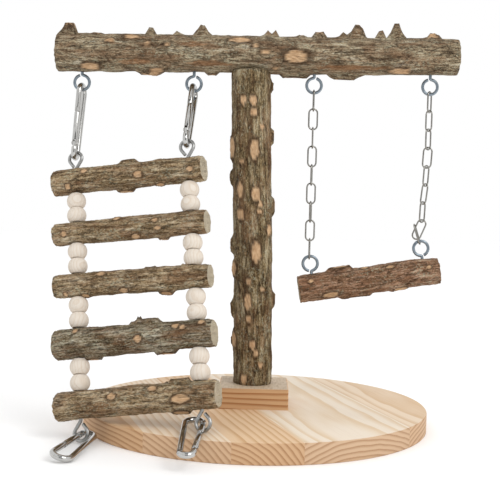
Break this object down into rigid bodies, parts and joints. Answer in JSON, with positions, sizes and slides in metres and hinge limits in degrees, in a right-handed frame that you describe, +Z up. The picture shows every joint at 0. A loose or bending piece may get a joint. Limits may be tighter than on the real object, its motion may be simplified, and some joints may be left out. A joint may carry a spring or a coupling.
{
  "type": "parrot play stand",
  "caption": "Tabletop parrot play stand: bark-covered post and beam on a round pine board, with a hanging wooden ladder and a perch swing on chains.",
  "frame": {"origin": "middle of the round board's underside, where the stand rests on the table", "axes": "+Z up, -Y to the front (the side the ladder leans out to), +X to the right along the beam, where the swing hangs"},
  "size_m": [0.2903, 0.2739, 0.2936],
  "materials": {
    "pine_board": "bare planed pine",
    "block_wood": "bare planed, bold grain",
    "bark_wood": "natural bark with pale cuts",
    "bead_wood": "bare turned",
    "nickel": "bright plated",
    "galvanised": "satin",
    "zinc": "bluish zinc"
  },
  "bodies": {
    "stand": {"base_disc": "pine_board", "base_block": "block_wood", "post": "bark_wood", "beam": "bark_wood", "post_screw": "zinc", "block_screws": "zinc", "beam_dowel_screw": "zinc", "beam_screw_eyes": "zinc"},
    "ladder_hooks": {"top_hook_left": "nickel", "top_hook_right": "nickel", "top_hook_rivets": "nickel"},
    "top_gate_left": {"top_gate_left": "nickel"},
    "top_gate_right": {"top_gate_right": "nickel"},
    "ladder": {"ladder_wire_left": "galvanised", "ladder_wire_right": "galvanised", "rung_1": "bark_wood", "rung_2": "bark_wood", "rung_3": "bark_wood", "rung_4": "bark_wood", "rung_5": "bark_wood"},
    "lower_hook_left": {"lower_hook_left": "nickel", "lower_hook_rivet_left": "nickel"},
    "lower_gate_left": {"lower_gate_left": "nickel"},
    "lower_hook_right": {"lower_hook_right": "nickel", "lower_hook_rivet_right": "nickel"},
    "lower_gate_right": {"lower_gate_right": "nickel"},
    "bead_left_1": {"bead_left_1": "bead_wood"},
    "bead_left_2": {"bead_left_2": "bead_wood"},
    "bead_left_3": {"bead_left_3": "bead_wood"},
    "bead_left_4": {"bead_left_4": "bead_wood"},
    "bead_left_5": {"bead_left_5": "bead_wood"},
    "bead_left_6": {"bead_left_6": "bead_wood"},
    "bead_left_7": {"bead_left_7": "bead_wood"},
    "bead_left_8": {"bead_left_8": "bead_wood"},
    "bead_right_1": {"bead_right_1": "bead_wood"},
    "bead_right_2": {"bead_right_2": "bead_wood"},
    "bead_right_3": {"bead_right_3": "bead_wood"},
    "bead_right_4": {"bead_right_4": "bead_wood"},
    "bead_right_5": {"bead_right_5": "bead_wood"},
    "bead_right_6": {"bead_right_6": "bead_wood"},
    "bead_right_7": {"bead_right_7": "bead_wood"},
    "bead_right_8": {"bead_right_8": "bead_wood"},
    "chain_1": {"chain_links_1": "galvanised"},
    "chain_2": {"chain_links_2": "galvanised"},
    "chain_3": {"chain_links_3": "galvanised"},
    "chain_4": {"chain_links_4": "galvanised"},
    "chain_5": {"chain_links_5": "galvanised"},
    "chain_6": {"chain_links_6": "galvanised"},
    "chain_7": {"chain_links_7": "galvanised"},
    "chain_8": {"chain_links_8": "galvanised"},
    "chain_9": {"chain_links_9": "galvanised"},
    "swing_perch": {"swing_perch": "bark_wood", "perch_screw_eyes": "zinc"}
  },
  "joints": [
    {"name": "ladder_from_beam", "type": "hinge", "parent": "stand", "child": "ladder_hooks", "pos_m": [-0.13218, 0, 0.24024], "axis": [-0.9999, 0, -0.0127], "range_deg": [0, 45]},
    {"name": "gate_top_left", "type": "hinge", "parent": "ladder_hooks", "child": "top_gate_left", "pos_m": [-0.13519, -0.0114, 0.20114], "axis": [-0.9703, 0.2419, 0.0043], "range_deg": [0, 14], "stiffness_Nm_per_rad": 0.05, "springref_deg": -17.19},
    {"name": "gate_top_right", "type": "hinge", "parent": "ladder_hooks", "child": "top_gate_right", "pos_m": [-0.05382, -0.02778, 0.21151], "axis": [-0.963, 0.2401, -0.1225], "range_deg": [0, 14], "stiffness_Nm_per_rad": 0.05, "springref_deg": -17.19},
    {"name": "ladder_from_hooks", "type": "hinge", "parent": "ladder_hooks", "child": "ladder", "pos_m": [-0.13447, -0.00836, 0.19424], "axis": [-0.9651, 0.2349, -0.1154], "range_deg": [0, 50]},
    {"name": "hook_lower_left", "type": "hinge", "parent": "ladder", "child": "lower_hook_left", "pos_m": [-0.10958, -0.0831, 0.00603], "axis": [-0.9816, 0.1908, 0], "range_deg": [0, 60]},
    {"name": "gate_lower_left", "type": "hinge", "parent": "lower_hook_left", "child": "lower_gate_left", "pos_m": [-0.11463, -0.08716, 0.00699], "axis": [0.2618, -0.0977, 0.9602], "range_deg": [0, 14], "stiffness_Nm_per_rad": 0.05, "springref_deg": -17.19},
    {"name": "hook_lower_right", "type": "hinge", "parent": "ladder", "child": "lower_hook_right", "pos_m": [-0.03753, -0.09877, 0.01984], "axis": [-0.9994, 0.0349, 0], "range_deg": [0, 60]},
    {"name": "gate_lower_right", "type": "hinge", "parent": "lower_hook_right", "child": "lower_gate_right", "pos_m": [-0.03571, -0.13722, 0.01285], "axis": [-0.0063, -0.1793, 0.9838], "range_deg": [0, 14], "stiffness_Nm_per_rad": 0.05, "springref_deg": -17.19},
    {"name": "wire_bead_left_1", "type": "hinge", "parent": "ladder", "child": "bead_left_1", "pos_m": [-0.13065, -0.02204, 0.15921], "axis": [-0.1011, 0.3618, 0.9267], "continuous": true},
    {"name": "wire_bead_left_2", "type": "hinge", "parent": "ladder", "child": "bead_left_2", "pos_m": [-0.12954, -0.02598, 0.14911], "axis": [-0.1011, 0.3618, 0.9267], "continuous": true},
    {"name": "wire_bead_left_3", "type": "hinge", "parent": "ladder", "child": "bead_left_3", "pos_m": [-0.12684, -0.03568, 0.12428], "axis": [-0.1011, 0.3618, 0.9267], "continuous": true},
    {"name": "wire_bead_left_4", "type": "hinge", "parent": "ladder", "child": "bead_left_4", "pos_m": [-0.12573, -0.03962, 0.11418], "axis": [-0.1011, 0.3618, 0.9267], "continuous": true},
    {"name": "wire_bead_left_5", "type": "hinge", "parent": "ladder", "child": "bead_left_5", "pos_m": [-0.12291, -0.04975, 0.08823], "axis": [-0.1011, 0.3618, 0.9267], "continuous": true},
    {"name": "wire_bead_left_6", "type": "hinge", "parent": "ladder", "child": "bead_left_6", "pos_m": [-0.1218, -0.05369, 0.07813], "axis": [-0.1011, 0.3618, 0.9267], "continuous": true},
    {"name": "wire_bead_left_7", "type": "hinge", "parent": "ladder", "child": "bead_left_7", "pos_m": [-0.11855, -0.06535, 0.04829], "axis": [-0.1011, 0.3618, 0.9267], "continuous": true},
    {"name": "wire_bead_left_8", "type": "hinge", "parent": "ladder", "child": "bead_left_8", "pos_m": [-0.11745, -0.06929, 0.03819], "axis": [-0.1011, 0.3618, 0.9267], "continuous": true},
    {"name": "wire_bead_right_1", "type": "hinge", "parent": "ladder", "child": "bead_right_1", "pos_m": [-0.04919, -0.04173, 0.16933], "axis": [-0.1011, 0.3618, 0.9267], "continuous": true},
    {"name": "wire_bead_right_2", "type": "hinge", "parent": "ladder", "child": "bead_right_2", "pos_m": [-0.04809, -0.04567, 0.15923], "axis": [-0.1011, 0.3618, 0.9267], "continuous": true},
    {"name": "wire_bead_right_3", "type": "hinge", "parent": "ladder", "child": "bead_right_3", "pos_m": [-0.04528, -0.05573, 0.13347], "axis": [-0.1011, 0.3618, 0.9267], "continuous": true},
    {"name": "wire_bead_right_4", "type": "hinge", "parent": "ladder", "child": "bead_right_4", "pos_m": [-0.04418, -0.05968, 0.12337], "axis": [-0.1011, 0.3618, 0.9267], "continuous": true},
    {"name": "wire_bead_right_5", "type": "hinge", "parent": "ladder", "child": "bead_right_5", "pos_m": [-0.04141, -0.06959, 0.09798], "axis": [-0.1011, 0.3618, 0.9267], "continuous": true},
    {"name": "wire_bead_right_6", "type": "hinge", "parent": "ladder", "child": "bead_right_6", "pos_m": [-0.04031, -0.07353, 0.08788], "axis": [-0.1011, 0.3618, 0.9267], "continuous": true},
    {"name": "wire_bead_right_7", "type": "hinge", "parent": "ladder", "child": "bead_right_7", "pos_m": [-0.03734, -0.08417, 0.06063], "axis": [-0.1011, 0.3618, 0.9267], "continuous": true},
    {"name": "wire_bead_right_8", "type": "hinge", "parent": "ladder", "child": "bead_right_8", "pos_m": [-0.03624, -0.08811, 0.05053], "axis": [-0.1011, 0.3618, 0.9267], "continuous": true},
    {"name": "swing", "type": "hinge", "parent": "stand", "child": "chain_1", "pos_m": [0.03671, 0, 0.24239], "axis": [0.9999, 0, 0.0127], "range_deg": [-60, 60]},
    {"name": "chain_bend_2", "type": "hinge", "parent": "chain_1", "child": "chain_2", "pos_m": [0.03671, 0, 0.22939], "axis": [0.9999, 0, 0.0127], "range_deg": [-8, 8]},
    {"name": "chain_bend_3", "type": "hinge", "parent": "chain_2", "child": "chain_3", "pos_m": [0.03671, 0, 0.21589], "axis": [0.9999, 0, 0.0127], "range_deg": [-8, 8]},
    {"name": "chain_bend_4", "type": "hinge", "parent": "chain_3", "child": "chain_4", "pos_m": [0.03671, 0, 0.20239], "axis": [0.9999, 0, 0.0127], "range_deg": [-8, 8]},
    {"name": "chain_bend_5", "type": "hinge", "parent": "chain_4", "child": "chain_5", "pos_m": [0.03671, 0, 0.18889], "axis": [0.9999, -0.001, 0.0155], "range_deg": [-8, 8]},
    {"name": "chain_bend_6", "type": "hinge", "parent": "chain_5", "child": "chain_6", "pos_m": [0.03671, 0, 0.17539], "axis": [0.9998, 0.0004, 0.0184], "range_deg": [-8, 8]},
    {"name": "chain_bend_7", "type": "hinge", "parent": "chain_6", "child": "chain_7", "pos_m": [0.03671, 0, 0.16189], "axis": [0.9997, -0.0019, 0.0231], "range_deg": [-8, 8]},
    {"name": "chain_bend_8", "type": "hinge", "parent": "chain_7", "child": "chain_8", "pos_m": [0.03671, 0, 0.14839], "axis": [0.9997, -0.001, 0.0256], "range_deg": [-8, 8]},
    {"name": "chain_bend_9", "type": "hinge", "parent": "chain_8", "child": "chain_9", "pos_m": [0.03671, 0, 0.13489], "axis": [0.9894, 0.0104, 0.1448], "range_deg": [-8, 1]},
    {"name": "perch_roll", "type": "hinge", "parent": "chain_9", "child": "swing_perch", "pos_m": [0.03671, 0, 0.12339], "axis": [0.9869, 0.0064, 0.1615], "range_deg": [-25, 25]}
  ]
}
